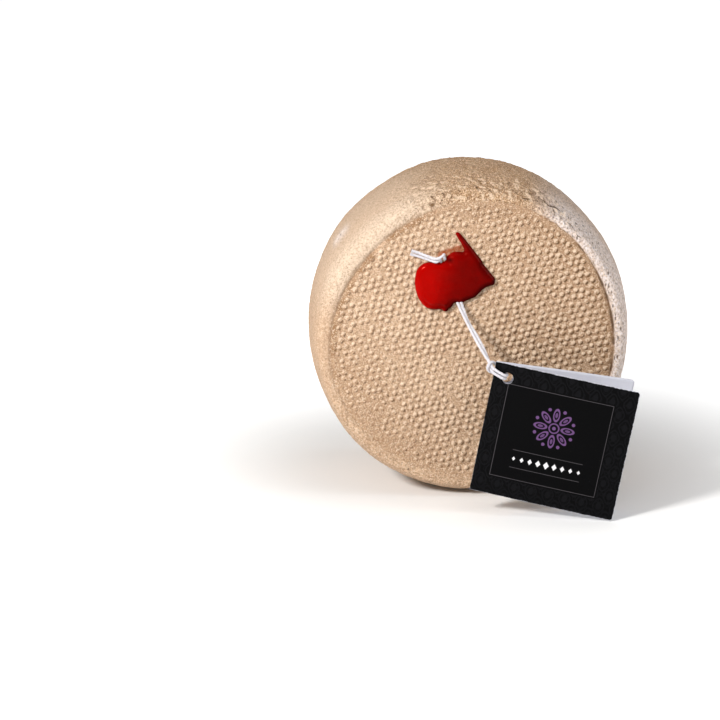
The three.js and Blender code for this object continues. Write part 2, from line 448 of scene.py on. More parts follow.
def uneven(radius, angle, depth):
    """The points of the uneven wheel in the frame, in millimetres."""
    share = crease_share(angle, depth)
    on_side = radius <= LIP_RADIUS
    lip_share = np.clip(share, LEAST_LIP, 1)
    lip = smoothstep(radius, FACE_RADIUS, FACE_RADIUS + LIP_RISE) * lip_share
    groove = bell(radius - FACE_RADIUS, GROOVE_WIDTH) * share
    sunk = FACE_PLANE + FACE_SINK * lip - GROOVE_DEPTH * groove
    rounding = (LIP_PLANE - FACE_PLANE) * (1 - lip_share)
    past_lip = np.clip(1 - (radius - LIP_RADIUS) / ROUNDED_PAST_LIP, 0, 1)
    past_lip = past_lip * (abs(depth) > LIP_PLANE / 2)
    level = np.where(on_side, sunk, abs(depth) - rounding * past_lip)
    inside = np.minimum(1, radius / FACE_RADIUS) ** 2
    outside = np.minimum(1, (WHEEL_RADIUS - radius) / (WHEEL_RADIUS - FACE_RADIUS)) ** 2
    on_lip = smoothstep(radius, FACE_RADIUS, LIP_RADIUS) * outside
    on_rim = smoothstep(radius, FACE_RADIUS, WHEEL_RADIUS)
    moved = radius + sum_of_waves(FACE_EDGE_WAVES, angle) * np.minimum(inside, outside)
    moved = moved + sum_of_waves(RIM_WAVES, angle) * on_rim
    level = level - abs(sum_of_waves(LIP_WAVES, angle)) * on_lip
    up = np.maximum(moved * np.sin(angle), -CENTRE_HEIGHT)
    return np.column_stack([moved * np.cos(angle), np.sign(depth) * level, up])


wheel_points = uneven(radius, angle, depth)
print("uneven wheel from", wheel_points.min(0).round(1), "to", wheel_points.max(0).round(1))

# %% [markdown]
# ## Basket bumps and lumps
#
# The front's bumps are real relief and not only a shader's, because they catch the light along
# the whole face and show in its outline. They sit on a slightly disturbed lattice of triangles,
# like the holes of the basket, with sizes and heights of their own. They sagged a little as the
# young cheese was turned out, so each is steeper on its lower right, and a few have a pinhole on
# top. Under and between them lie soft lumps of several sizes, from a table of random numbers that
# is blended between its cells, which is quick for so many points.

# %% Lumps and bumps
BUMP_PITCH = 3.35
BUMP_ROW = BUMP_PITCH * 0.87
BUMP_SHIFT = 0.3  # typical distance from its place in the lattice
BUMP_RADII = (0.88, 1.22)
BUMP_HEIGHTS = (0.55, 0.9)
BUMP_ROUNDNESS = 0.6  # below 1, a bump rises steeply at its foot
BUMP_LEAN = 0.12
BUMP_SEED = 5
MISSING_SHARE = 0.04
PINHOLE_SHARE = 0.2
PINHOLE_DEPTH = 0.3
PINHOLE_WIDTH = 0.3  # of the bump's radius
LATTICE_TURN = math.radians(14)
TABLE = 64  # cells of random numbers each way, after which they come again


def lumps(points, size, seed):
    """Soft random hills and hollows from about -1 to 1, so many millimetres across."""
    table = np.random.default_rng(seed).uniform(-1, 1, (TABLE,) * 3)
    cell = np.floor(points / size).astype(int)
    part = points / size - cell
    part = part * part * (3 - 2 * part)
    total = np.zeros(len(points))
    for corner in np.ndindex(2, 2, 2):
        weight = np.where(corner, part, 1 - part).prod(axis=1)
        total += weight * table[tuple(((cell + corner) % TABLE).T)]
    return 1.5 * total


def basket_bumps(right, up):
    """Height in millimetres of the bump at each place of a face, and 0 between the bumps."""
    random = np.random.default_rng(BUMP_SEED)
    shift = random.normal(0, BUMP_SHIFT, (TABLE, TABLE, 2))
    width = random.uniform(*BUMP_RADII, (TABLE, TABLE))
    height = random.uniform(*BUMP_HEIGHTS, (TABLE, TABLE))
    height = height * (random.random((TABLE, TABLE)) > MISSING_SHARE)
    pinhole = random.random((TABLE, TABLE)) > 1 - PINHOLE_SHARE
    along = right * math.cos(LATTICE_TURN) + up * math.sin(LATTICE_TURN)
    across = up * math.cos(LATTICE_TURN) - right * math.sin(LATTICE_TURN)
    row = np.round(across / BUMP_ROW).astype(int)
    column = np.round(along / BUMP_PITCH - row / 2).astype(int)
    tallest = np.zeros(len(right))
    for row_step, column_step in np.ndindex(3, 3):
        near_row, near_column = row + row_step - 1, column + column_step - 1
        which = (near_row % TABLE, near_column % TABLE)
        beside = along - (near_column + near_row / 2) * BUMP_PITCH - shift[which][:, 0]
        above = across - near_row * BUMP_ROW - shift[which][:, 1]
        away = np.hypot(beside, above) / width[which]
        lean = 1 + BUMP_LEAN * (beside - above) / width[which]
        dome = height[which] * lean * np.clip(1 - away**2, 0, 1) ** BUMP_ROUNDNESS
        dome = dome - PINHOLE_DEPTH * pinhole[which] * bell(away, PINHOLE_WIDTH)
        tallest = np.maximum(tallest, dome)
    return tallest


print("highest bump", basket_bumps(wheel_points[:, 0], wheel_points[:, 2]).max().round(2), "mm")

# %% [markdown]
# ## Where the skin changes
#
# The front's bumps fade towards the lower left and near the crease. The top of the rim is coarse,
# brown and crumbly, the left is smooth and peach-coloured, and a whitish bloom lies on the right,
# right up to the crease; a short whitish streak on the upper left rim is a painted highlight. The
# face is painted browner and darker towards its right half and at its lower left, as painted
# shade, and the lip at the upper left is pale. Each of these is a soft share from 0 to 1 over the
# wheel.
# Angles are in degrees from the right, and y is negative at the front. The shares shape the relief
# now, and the material reads them again later as attributes. The back face is too coarse a mesh
# for bumps, so its material draws them instead.


# %% Zones of the rind
def near_angle(middle, reach, ease):
    """1 within so many degrees of an angle, easing to 0 beyond."""
    away = abs(np.degrees(np.angle(np.exp(1j * (angle - math.radians(middle))))))
    return 1 - smoothstep(away, reach, reach + ease)


front = depth < 0
x, y, z = wheel_points.T
on_face = 1 - smoothstep(radius, FACE_RADIUS - 2.5, FACE_RADIUS - 0.6)
on_rim = smoothstep(radius, FACE_RADIUS, FACE_RADIUS + 0.8)
lower_left = smoothstep(-0.8 * x - 0.6 * z, 22, 58) * front
upper = smoothstep(z, 38, 60) * front
coarse = on_rim * near_angle(82, 23, 20)
peach = on_rim * near_angle(158, 30, 30) * smoothstep(-y, -20, 10)
bloom = on_rim * near_angle(14, 39, 18) * (0.45 + 0.55 * smoothstep(-y, 0, 28))
# A short whitish streak on the upper left rim: a painted highlight, drawn as part of the bloom
bloom = np.maximum(bloom, on_rim * near_angle(143, 2, 4) * bell(y + 15, 6))
pale = on_rim * near_angle(134, 18, 24) * (1 - 0.55 * smoothstep(y, -37, -26))
pale = pale * (1 - smoothstep(y, 0, 30))
# Painted shade: the face is painted browner and darker towards its right and at its lower left
aged = smoothstep(x + 0.15 * z, -35, 45) + 0.9 * lower_left
aged = np.clip(aged, 0, 1) * front * (1 - on_rim)
bump_share = on_face * front * (1 - 0.4 * lower_left) * (1 - 0.35 * upper)
bump_share = np.clip(bump_share * (0.85 + 0.2 * lumps(wheel_points, 16, 3)), 0, 1)
print("front face:", np.count_nonzero(front & (on_face > 0)), "of", len(depth), "points")

# %% [markdown]
# ## Relief, with its painted light and shade
#
# The zones scale the relief: bumps on the face, split crumbs along the coarse top, pebbles near
# the face's upper edge, and grain over all. The colour gets painted light and shade from it: the
# relief is looked at twice, a little to the upper left and a little to the lower right. Where the
# first is the higher, the place lies behind something as the light comes, and gets painted shade;
# where the second is the higher, the place faces the light and gets a painted highlight.

# %% Relief of the skin
TOWARDS_LIGHT = (-0.6, -0.65, 0.5)
LIGHT_AND_SHADE_STRENGTH = 2.4


def bumps_seen_from(step):
    """The bumps' height so many millimetres to the left of and above each point."""
    return basket_bumps(x - step, z + step) * bump_share


def crumbs_seen_from(step):
    """The coarse rim's height so many millimetres towards the upper left front."""
    outwards = np.column_stack([np.cos(angle), np.zeros(len(angle)), np.sin(angle)])
    uphill = np.array(TOWARDS_LIGHT) - (outwards @ TOWARDS_LIGHT)[:, None] * outwards
    places = wheel_points + step * uphill
    split = smoothstep(1 - abs(lumps(places, 4.2, 17)), 0.8, 1)
    rough = 0.26 * lumps(places, 2.6, 14) + 0.3 * lumps(places, 1.3, 15) - 0.15 * split
    return coarse * (1 - 0.5 * smoothstep(y, -28, -8)) * rough


bumps = bumps_seen_from(0)
crumbs = crumbs_seen_from(0)
pebbles = 0.2 * upper * on_face * lumps(wheel_points, 2.4, 16)
roughness = (0.07 + 0.08 * on_rim) * lumps(wheel_points, 1.3, 13) * (1 - 0.5 * peach)
detail = bumps - 0.25 * bump_share + crumbs + pebbles + roughness
relief = detail + 0.08 * lumps(wheel_points, 17, 11) + 0.06 * lumps(wheel_points, 5.5, 12)

# Painted light and shade, from -1 on the upper left of a bump, where the light falls and a painted
# highlight goes, to 1 on its lower right, where painted shade goes
lee = (bumps_seen_from(0.35) - bumps_seen_from(-0.1)) * LIGHT_AND_SHADE_STRENGTH
lee = np.clip(lee + (crumbs_seen_from(0.4) - crumbs_seen_from(-0.2)) * LIGHT_AND_SHADE_STRENGTH, -1, 1)
print("relief from", relief.min().round(2), "to", relief.max().round(2), "mm")

# %% [markdown]
# ## Stains, and the crease's painted shade
#
# The crease gets painted shade, deepest where it is deepest, but hardly any at the upper left,
# where a broken brown stain lies beside it instead. The right half's edge is a little warmer.
# Above the blot, red has soaked in. The material reads these as attributes too.

# %% Stains
SOAKED_FROM = np.array([-13.0, 39.4])
SOAKED_TO = np.array([-3.0, 43.0])
SOAKED_WIDTH = 1.9

past_crease = radius - FACE_RADIUS
upper_left = near_angle(145, 40, 20)
# Painted shade in the crease, deepest where the crease is deepest, and faint at the upper left
dirt = bell(past_crease, 0.55) * crease_share(angle, depth)
dirt = dirt * np.clip(0.8 + 0.8 * lumps(wheel_points, 3, 20), 0.3, 1)
dirt = np.clip(dirt * (1 - 0.8 * upper_left), 0, 1)
beside_crease = bell(past_crease + 1.0, 1.7) * upper_left
beside_crease = beside_crease * np.clip(0.9 + 1.1 * lumps(wheel_points, 4, 21), 0.1, 1.3)
warm_edge = bell(past_crease + 3.5, 3.5) * near_angle(35, 50, 25)
stained = np.maximum(beside_crease, 0.5 * warm_edge) * front
from_soaked = from_stretch(np.column_stack([x, z]), SOAKED_FROM, SOAKED_TO - SOAKED_FROM)
soaked = bell(from_soaked, SOAKED_WIDTH) * front
# The count takes in the crease's painted shade as well as the stains
print("stained points:", np.count_nonzero(np.maximum(stained, dirt) > 0.5))

# %% [markdown]
# ## One closed skin
#
# The relief moves each point along the skin's normal. The grid is fine enough for the bumps, and
# so it is far too fine for the smooth rim. A Decimate modifier then merges points, least on the
# front face, more on the rim and most on the back. That keeps the bumps sharp and the mesh light.
# The alternative, one grid that is fine at the front only, would need a seam somewhere.

# %% Rind piece
# Decimate ends at fewer triangles than it is asked for.
ASKED_TRIANGLES = 240_000
FOOT_EASE = 3  # above the flat spot, over which the relief comes back
FOOT_LIFT = 0.35
FRONT_FROM = -0.036  # metres; what lies before it is counted as the front face


def keep_attribute(piece, name, values):
    layer = piece.data.attributes.new(name, "FLOAT", "POINT")
    layer.data.foreach_set("value", np.asarray(values, np.float32))


rind = mesh_piece("rind", wheel_points + (0, 0, CENTRE_HEIGHT), wheel_faces.tolist())
normals = np.zeros(len(wheel_points) * 3, np.float32)
rind.data.vertex_normals.foreach_get("vector", normals)
skin = wheel_points + normals.reshape(-1, 3) * relief[:, None]
resting = smoothstep(skin[:, 2], -CENTRE_HEIGHT, -CENTRE_HEIGHT + FOOT_EASE)
skin[:, 2] = np.maximum(skin[:, 2] + FOOT_LIFT * (1 - resting), -CENTRE_HEIGHT)
places = (skin + (0, 0, CENTRE_HEIGHT)) * MM
rind.data.vertices.foreach_set("co", places.astype(np.float32).ravel())
zones = {
    "height": detail,
    "coarse": coarse,
    "peach": peach,
    "bloom": bloom,
    "pale": pale,
    "aged": aged,
    "lee": lee,
    "dirt": dirt,
    "soaked": soaked,
    "groove": stained,
}
for name, values in zones.items():
    keep_attribute(rind, name, values)

# How readily points are merged: the back face, the rim, the rim's back, and the front face
plain = rind.vertex_groups.new(name="plain")
for where, weight in (
    (~front & (on_rim == 0), 1),
    (on_rim > 0, 0.3),
    ((depth >= 14) & (depth < LIP_PLANE), 0.6),
    (front & (on_rim == 0), 0.15),
):
    plain.add(np.flatnonzero(where).tolist(), weight, "REPLACE")
thinner = rind.modifiers.new("thinner", "DECIMATE")
thinner.ratio = ASKED_TRIANGLES / (2 * len(wheel_faces))
thinner.vertex_group = plain.name
evaluated = rind.evaluated_get(bpy.context.evaluated_depsgraph_get())
rind.data = bpy.data.meshes.new_from_object(evaluated)
rind.modifiers.clear()
on_front = sum(face.center.y < FRONT_FROM for face in rind.data.polygons)
print(on_front, "of the rind's", len(rind.data.polygons), "triangles are on the front face")
stands_for(rind, "rind", "wheel")

# %% [markdown]
# ## Sheets cut to an outline
#
# The wax and the card both start as a flat outline filled with triangles. Blender can fill a
# curve, but leaves long thin triangles that can't bend. A constrained Delaunay fill takes the
# outline, any holes and as many inner points as are wanted, so the sheet can bulge or fold.


# %% Filling an outline
KEEP_INSIDE = 1  # tells the fill to keep only what lies inside the outline
SAME_POINT = 1e-6  # points nearer than this count as one


def smooth_loop(corners, spacing):
    """A closed smooth line through the corners, without its first point a second time."""
    padded = np.vstack([corners[-1], corners, corners[:2]])
    return evenly(curve_through(padded), spacing)[:-1]


def distance_to(loop, points):
    """How far each point is from a closed line of short straight pieces."""
    nearest = np.full(len(points), np.inf)
    for start, run in zip(loop, np.roll(loop, -1, axis=0) - loop):
        nearest = np.minimum(nearest, from_stretch(points, start, run))
    return nearest


def is_inside(loop, points):
    """Counts how often a ray to the right of each point crosses the closed line."""
    inside = np.zeros(len(points), bool)
    for a, b in zip(loop, np.roll(loop, -1, axis=0)):
        spans = (a[1] > points[:, 1]) != (b[1] > points[:, 1])
        if spans.any():
            crossing = a[0] + (points[:, 1] - a[1]) / (b[1] - a[1]) * (b[0] - a[0])
            inside ^= spans & (points[:, 0] < crossing)
    return inside


def filled(outline, holes, inner):
    """Points and triangles of a flat sheet, and the point numbers round its outline and holes."""
    points = np.vstack([outline, *holes, inner])
    loops, first = [], 0
    for loop in [outline, *holes]:
        numbers = list(range(first, first + len(loop)))
        loops.append(numbers[::-1] if loops else numbers)
        first += len(loop)
    edges = [(a, b) for loop in loops for a, b in zip(loop, loop[1:] + loop[:1])]
    filled_points, _, triangles, *_ = delaunay_2d_cdt(
        [Vector(p) for p in points], edges, [], KEEP_INSIDE, SAME_POINT
    )
    if len(filled_points) != len(points):
        raise ValueError("two points of the sheet lie on each other")
    triangles = np.array([list(t) for t in triangles])
    for hole in holes:
        triangles = triangles[~is_inside(hole, points[triangles].mean(axis=1))]
    a, b, c = points[triangles].transpose(1, 0, 2)
    turns_left = np.cross(b - a, c - a) > 0
    triangles[~turns_left] = triangles[~turns_left][:, ::-1]
    return points, triangles, loops


def between_skins(near, far, triangles, loops):
    """Points and faces of a solid: the near skin, the far skin, and walls along the loops."""
    count = len(near)
    walls = [
        [a, a + count, b + count, b] for loop in loops for a, b in zip(loop, loop[1:] + loop[:1])
    ]
    faces = triangles.tolist() + (triangles[:, ::-1] + count).tolist() + walls
    return np.vstack([near, far]), faces


def signed_area(loop):
    after = np.roll(loop, -1, axis=0)
    return 0.5 * (loop[:, 0] * after[:, 1] - loop[:, 1] * after[:, 0]).sum()


print("helpers for flat sheets are ready")

# %% [markdown]
# ## The poured wax
#
# Sealing wax is dripped on hot. It spreads a little, its edge draws up round by surface tension,
# and the stick pulls out a thin thread as it leaves. A metaball would round the thread away and
# an extruded outline has a hard edge, so the thickness is worked out from the distance to the
# outline: steep at the edge, then almost level. Where the string's ends stick out it has sunk in.

# %% Wax
WAX_OUTLINE = [
    (-6.0, 49.6),
    (-0.7, 43.6),
    (5.6, 35.3),
    (9.9, 29.2),
    (9.9, 26.8),
    (5.6, 24.4),
    (2.4, 21.5),
    (-0.8, 19.3),
    (-4.0, 18.4),
    (-6.6, 18.2),
    (-8.2, 16.2),
    (-10.9, 14.3),
    (-14.0, 14.9),
    (-19.3, 15.6),
    (-22.4, 18.6),
    (-24.3, 23.0),
    (-24.8, 28.7),
    (-23.6, 33.2),
    (-20.2, 35.9),
    (-15.8, 36.1),
    (-12.2, 36.4),
    (-11.0, 38.6),
    (-8.0, 40.8),
    (-3.4, 41.2),
    (-7.1, 49.2),
]
WAX_THICKNESS = 2.6
WAX_EDGE = 3.0  # how far in from the outline the wax is still rising
WAX_LIFT = 0.3  # of its thin edge off the plane of the face
WAX_ROOT = FACE_PLANE - 0.5  # its back, which clings into the rind
WAX_STEP = 0.6  # between the inner points
WAX_INSETS = (0.05, 0.18, 0.4, 0.7, 1.1)  # of the rows of points along the edge
INNER_INSET = 1.35
OFF_THE_OUTLINE = 0.013  # moves the inner points, so that none falls on the outline
SCALLOPS = 0.3
PIT, PIT_DEPTH, PIT_WIDTH = (-10.4, 36.6), 1.9, 1.5
# Painted shade: the wax is painted almost black, and loses its shine, in the hollow by the
# string's ends and along its lower right edge
DULL_SHADED_PIT, DULL_SHADED_WIDTH = (-9.6, 37.6), 1.3
DULL_SHADED_EDGE = 2.2  # width of the dull band along the edge
AWAY_FROM_LIGHT = (0.35, -0.2)  # a small step to the lower right
LEAST_HEIGHT = 0.02  # so that the wax's edge isn't a knife's
# Place and size of each
BUBBLES = [
    (-13.9, 24.1, 0.5),
    (-19.8, 20.6, 0.4),
    (-2.9, 26.0, 0.35),
    (1.5, 33.0, 0.4),
    (-17.0, 30.0, 0.3),
]


def flat_spots(points):
    return np.column_stack([points, np.zeros(len(points))])


def wax_height(points, edge_distance):
    rising = np.clip(edge_distance / WAX_EDGE, 0, 1)
    height = WAX_THICKNESS * np.sqrt(1 - (1 - rising) ** 2)
    spots = flat_spots(points)
    height = height + (0.16 * lumps(spots, 9, 31) + 0.07 * lumps(spots, 3.5, 32) - 0.15) * rising
    lower_edge = smoothstep(-points[:, 1], -22, -17) * smoothstep(-points[:, 0], 6, 10)
    height = height - 0.8 * lower_edge * bell(edge_distance - 2.0, 0.6)
    height = height - PIT_DEPTH * bell(lengths(points - PIT), PIT_WIDTH) * rising
    for right, up, size in BUBBLES:
        height = height + 0.3 * size * bell(lengths(points - (right, up)), size)
    return np.maximum(height, LEAST_HEIGHT)


def dull_and_shaded_share(points, outline, edge_distance):
    """1 where the shine is gone and painted shade goes: by the string's ends, and along the edge
    away from the light.
    """
    stepped = points + AWAY_FROM_LIGHT
    still_inside = np.where(is_inside(outline, stepped), 1, -1)
    nearer = (edge_distance - distance_to(outline, stepped) * still_inside) / 0.3
    shaded = np.clip(nearer, 0, 1) * bell(edge_distance, DULL_SHADED_EDGE)
    return np.maximum(shaded, bell(lengths(points - DULL_SHADED_PIT), DULL_SHADED_WIDTH))


def square_to(loop):
    """The direction inwards at each point of a loop that runs anticlockwise."""
    along = np.roll(loop, -1, axis=0) - np.roll(loop, 1, axis=0)
    inwards = np.column_stack([-along[:, 1], along[:, 0]])
    return inwards / lengths(inwards)[:, None]


def wax_points():
    """The wax's outline, scalloped at the lower right, and the points inside it."""
    outline = smooth_loop(np.array(WAX_OUTLINE), 0.5)
    if signed_area(outline) < 0:
        outline = outline[::-1]
    ragged = smoothstep(outline[:, 0], -22, -12) * smoothstep(-outline[:, 1], -41, -36)
    scallops = SCALLOPS * lumps(flat_spots(outline), 1.9, 33) * ragged
    outline = outline + square_to(outline) * scallops[:, None]
    inwards = square_to(outline)
    inner = []
    for inset in WAX_INSETS:
        row = outline + inwards * inset
        inner.append(row[distance_to(outline, row) > 0.96 * inset])
    ways = [np.arange(a, b, WAX_STEP) for a, b in zip(outline.min(0), outline.max(0))]
    grid = np.stack(np.meshgrid(*ways), -1).reshape(-1, 2) + OFF_THE_OUTLINE
    grid = grid[is_inside(outline, grid)]
    inner.append(grid[distance_to(outline, grid) > INNER_INSET])
    return outline, np.vstack(inner)


wax_outline, wax_inner = wax_points()
flat, triangles, loops = filled(wax_outline, [], wax_inner)
from_edge = distance_to(wax_outline, flat)
front_y = -FACE_PLANE - WAX_LIFT - wax_height(flat, from_edge)
near = np.column_stack([flat[:, 0], front_y, flat[:, 1] + CENTRE_HEIGHT])
far = np.column_stack([flat[:, 0], np.full(len(flat), -WAX_ROOT), flat[:, 1] + CENTRE_HEIGHT])
wax = mesh_piece("wax_blot", *between_skins(near, far, triangles, loops))
# Painted shade: the wax's colour darkens towards its right, away from the light
keep_attribute(wax, "right_shade", np.tile(smoothstep(flat[:, 0] - 0.25 * flat[:, 1], -31, 0), 2))
# Painted shade, with the shine gone: along the lower right edge and in the hollow by the string's
# ends
keep_attribute(wax, "dull_and_shaded", np.tile(dull_and_shaded_share(flat, wax_outline, from_edge), 2))
stands_for(wax, "wax", "wax_seal")

# %% [markdown]
# ## The folded card
#
# The tag is made the way a real one is: cut flat, punched, printed and folded. The flat sheet is
# filled with small triangles, and folding moves each point onto a section of two leaves with a
# round spine between them. The flat coordinates stay on the mesh, so the print can be drawn on
# the unfolded card. Each leaf bows slightly, as card does when it has been opened and shut.

# %% Card
TAG_WIDTH = 63
TAG_HEIGHT = 59
CARD = 0.5
SPINE = 1.0
TAG_OPENING = math.radians(18)
HOLE_RADIUS = 2.5
HOLE_INSET = 5.9
HOLE_DROP = 6.3
STANDING_CORNER = Vector((60.8, -72.8, 0.4))
TAG_TURN = Euler((math.radians(-1.5), math.radians(10.5), math.radians(-8.5)), "XYZ").to_matrix()
LEAF_BOW = 0.5
FOLD_RADIUS = (SPINE - CARD) / 2
SPINE_ARC = FOLD_RADIUS * (math.pi - TAG_OPENING)  # length of the fold's middle line
HALF_SHEET = TAG_WIDTH + SPINE_ARC / 2
LEAF_COLUMNS, SPINE_COLUMNS, CARD_ROWS = 64, 25, 60
HOLE_SIDES = 40


def cut_outline(columns, rows):
    """The card's flat outline, anticlockwise, with its corners just taken off."""
    across, upright = columns[1:-1], rows[1:-1]
    bottom = np.column_stack([across, np.full(len(across), rows[0])])
    right = np.column_stack([np.full(len(upright), columns[-1]), upright])
    top = np.column_stack([across[::-1], np.full(len(across), rows[-1])])
    left = np.column_stack([np.full(len(upright), columns[0]), upright[::-1]])
    return np.vstack([bottom, right, top, left])


def circle(middle, radius, count):
    turn = np.arange(count) * 2 * np.pi / count
    return np.column_stack([np.cos(turn), np.sin(turn)]) * radius + middle


def fold(sheet, offset):
    """Places flat points on the folded card, so far out from its middle layer."""
    along, up = sheet.T
    run = np.abs(along) - SPINE_ARC / 2
    bow = LEAF_BOW * np.sin(np.pi * np.clip(run / TAG_WIDTH, 0, 1)) * (0.6 + 0.4 * up / TAG_HEIGHT)
    lean = np.array([math.cos(TAG_OPENING), math.sin(TAG_OPENING)])
    outwards = np.array([-lean[1], lean[0]])
    front = np.column_stack([run, CARD / 2 - bow - offset])
    back = run[:, None] * lean + (FOLD_RADIUS + bow + offset)[:, None] * outwards + (0, SPINE / 2)
    turn = -np.pi / 2 - (SPINE_ARC / 2 - along) / FOLD_RADIUS
    spine = np.column_stack([np.cos(turn), np.sin(turn)])
    spine = (FOLD_RADIUS + offset) * spine + (0, SPINE / 2)
    section = np.where((along > 0)[:, None], front, back)
    section = np.where((run > 0)[:, None], section, spine)
    local = np.column_stack([section, up]) - (TAG_WIDTH, 0, 0)
    return local @ np.array(TAG_TURN).T + np.array(STANDING_CORNER)


def punched_sheet():
    """Points and triangles of the flat card with a hole in each leaf, and its loops."""
    leaf = np.linspace(0.7, HALF_SHEET, LEAF_COLUMNS)
    columns = np.concatenate([-leaf[::-1], np.linspace(-0.6, 0.6, SPINE_COLUMNS), leaf])
    rows = np.linspace(0, TAG_HEIGHT, CARD_ROWS)
    across, up = HOLE_INSET + SPINE_ARC / 2, TAG_HEIGHT - HOLE_DROP
    holes = [circle((side * across, up), HOLE_RADIUS, HOLE_SIDES) for side in (-1, 1)]
    grid = np.stack(np.meshgrid(columns[1:-1], rows[1:-1]), axis=-1).reshape(-1, 2)
    for hole in holes:
        grid = grid[lengths(grid - hole.mean(axis=0)) > HOLE_RADIUS + 0.5]
    return filled(cut_outline(columns, rows), holes, grid)


sheet, triangles, loops = punched_sheet()
outside, inside = fold(sheet, CARD / 2), fold(sheet, -CARD / 2)
card = mesh_piece("card_tag", *between_skins(outside, inside, triangles, loops))
flat_places = card.data.attributes.new("sheet", "FLOAT_VECTOR", "POINT")
flat_twice = np.vstack([np.column_stack([sheet, np.zeros(len(sheet))])] * 2)
flat_places.data.foreach_set("vector", flat_twice.astype(np.float32).ravel())
for number, face in enumerate(card.data.polygons):
    face.material_index = 0 if number < len(triangles) else 1
    face.use_smooth = number < 2 * len(triangles)
stands_for(card, "card", "tag")

# %% [markdown]
# ## The string and the card
#
# The string has two cut ends of its own. The card is a solid of its own, which the string only
# runs through.

# %% [markdown]
# ## Writing shader sums as plain Python
#
# A material is a web of nodes, and most of the nodes only add or multiply. Placing each by hand
# hides the idea, so a small class wraps a node's output and lets ordinary signs make the Math
# nodes. Anything that isn't such a sum has a short function of its own.


# %% Helpers for node trees
def put(tree, socket, value):
    if isinstance(value, Wire):
        tree.links.new(value.socket, socket)
    else:
        socket.default_value = value


def feed(tree, node, values):
    for title, value in values.items():
        put(tree, node.inputs[title], value)


class Wire:
    """The output of a shader node, which can be added to and multiplied as a number can."""

    def __init__(self, tree, socket):
        self.tree = tree
        self.socket = socket

    def math(self, operation, *others):
        node = self.tree.nodes.new("ShaderNodeMath")
        node.operation = operation
        for place, value in enumerate((self, *others)):
            put(self.tree, node.inputs[place], value)
        return Wire(self.tree, node.outputs[0])

    def __add__(self, other):
        return self.math("ADD", other)

    def __sub__(self, other):
        return self.math("SUBTRACT", other)

    def __mul__(self, other):
        return self.math("MULTIPLY", other)

    def __truediv__(self, other):
        return self.math("DIVIDE", other)

    def __neg__(self):
        return self * -1

    def __abs__(self):
        return self.math("ABSOLUTE")

    def flipped(self):
        """1 where it was 0, and the other way round."""
        return self * -1 + 1

    def eased(self, low, high):
        """0 below low and 1 above high, with a soft step between."""
        node = self.tree.nodes.new("ShaderNodeMapRange")
        node.interpolation_type = "SMOOTHSTEP"
        feed(self.tree, node, {"Value": self, "From Min": low, "From Max": high})
        return Wire(self.tree, node.outputs["Result"])


def mixed(share, first, second):
    """The first colour where the share is 0 and the second where it is 1."""
    node = share.tree.nodes.new("ShaderNodeMix")
    node.data_type = "RGBA"
    put(share.tree, node.inputs["Factor"], share)
    for socket, colour in zip(node.inputs[6:8], (first, second)):
        put(share.tree, socket, colour if isinstance(colour, Wire) else (*colour, 1))
    return Wire(share.tree, node.outputs[2])


def layered(colour, *layers):
    """Lays colours over the first one in turn. Each layer is a share and a colour."""
    for share, tint in layers:
        colour = mixed(share, colour, tint)
    return colour


def strongest(*masks):
    """The highest of several values at each place."""
    highest = masks[0]
    for mask in masks[1:]:
        highest = highest.math("MAXIMUM", mask)
    return highest


def distance(across, above):
    return (across * across + above * above).math("SQRT")


def vector_math(tree, operation, first, second):
    node = tree.nodes.new("ShaderNodeVectorMath")
    node.operation = operation
    feed(tree, node, {0: first, 1: second})
    return Wire(tree, node.outputs[0])


def object_place(tree):
    return Wire(tree, tree.nodes.new("ShaderNodeTexCoord").outputs["Object"])


def parts_of(tree, vector):
    node = tree.nodes.new("ShaderNodeSeparateXYZ")
    put(tree, node.inputs[0], vector)
    return [Wire(tree, output) for output in node.outputs]


def attribute(tree, name, output="Fac"):
    node = tree.nodes.new("ShaderNodeAttribute")
    node.attribute_name = name
    return Wire(tree, node.outputs[output])


print("node helpers are ready")

# %% [markdown]
# ## Effects that several materials share
#
# Three effects come back in more than one finish, so each is a node group that is built once.
# Grain is a patchy value at one size, pinholes are small round holes here and there, and mottle
# moves a colour between two tones. Each takes its sizes in millimetres.


# %% Node groups
SOCKET_KINDS = {3: "NodeSocketVector", 4: "NodeSocketColor"}
METRE = 1000  # millimetres


def new_group(name, inputs, output, output_kind="NodeSocketFloat"):
    """An empty group. The kind of an input follows from how many numbers its value has."""
    group = bpy.data.node_groups.new(name, "ShaderNodeTree")
    for title, value in inputs.items():
        kind = SOCKET_KINDS[len(value)] if isinstance(value, tuple) else "NodeSocketFloat"
        socket = group.interface.new_socket(title, in_out="INPUT", socket_type=kind)
        socket.default_value = value
    group.interface.new_socket(output, in_out="OUTPUT", socket_type=output_kind)
    entry = group.nodes.new("NodeGroupInput")
    result = group.nodes.new("NodeGroupOutput").inputs[0]
    return group, {title: Wire(group, entry.outputs[title]) for title in inputs}, result


def placed(tree, group, **values):
    """Puts a group into a tree with its own values, and returns what comes out of it."""
    node = tree.nodes.new("ShaderNodeGroup")
    node.node_tree = group
    feed(tree, node, values)
    return Wire(tree, node.outputs[0])


def grain(tree, size, roughness=0.55, shift=0.0):
    return placed(tree, grain_group, Size=size, Roughness=roughness, Shift=shift)


def pinholes(tree, spacing, radius, share, stretch=(1, 1, 1)):
    values = {"Spacing": spacing, "Radius": radius, "Share": share, "Stretch": stretch}
    return placed(tree, pinhole_group, **values)


def mottle(tree, light, dark, size, strength):
    tones = {"Light": (*light, 1), "Dark": (*dark, 1)}
    return placed(tree, mottle_group, **tones, Size=size, Strength=strength)


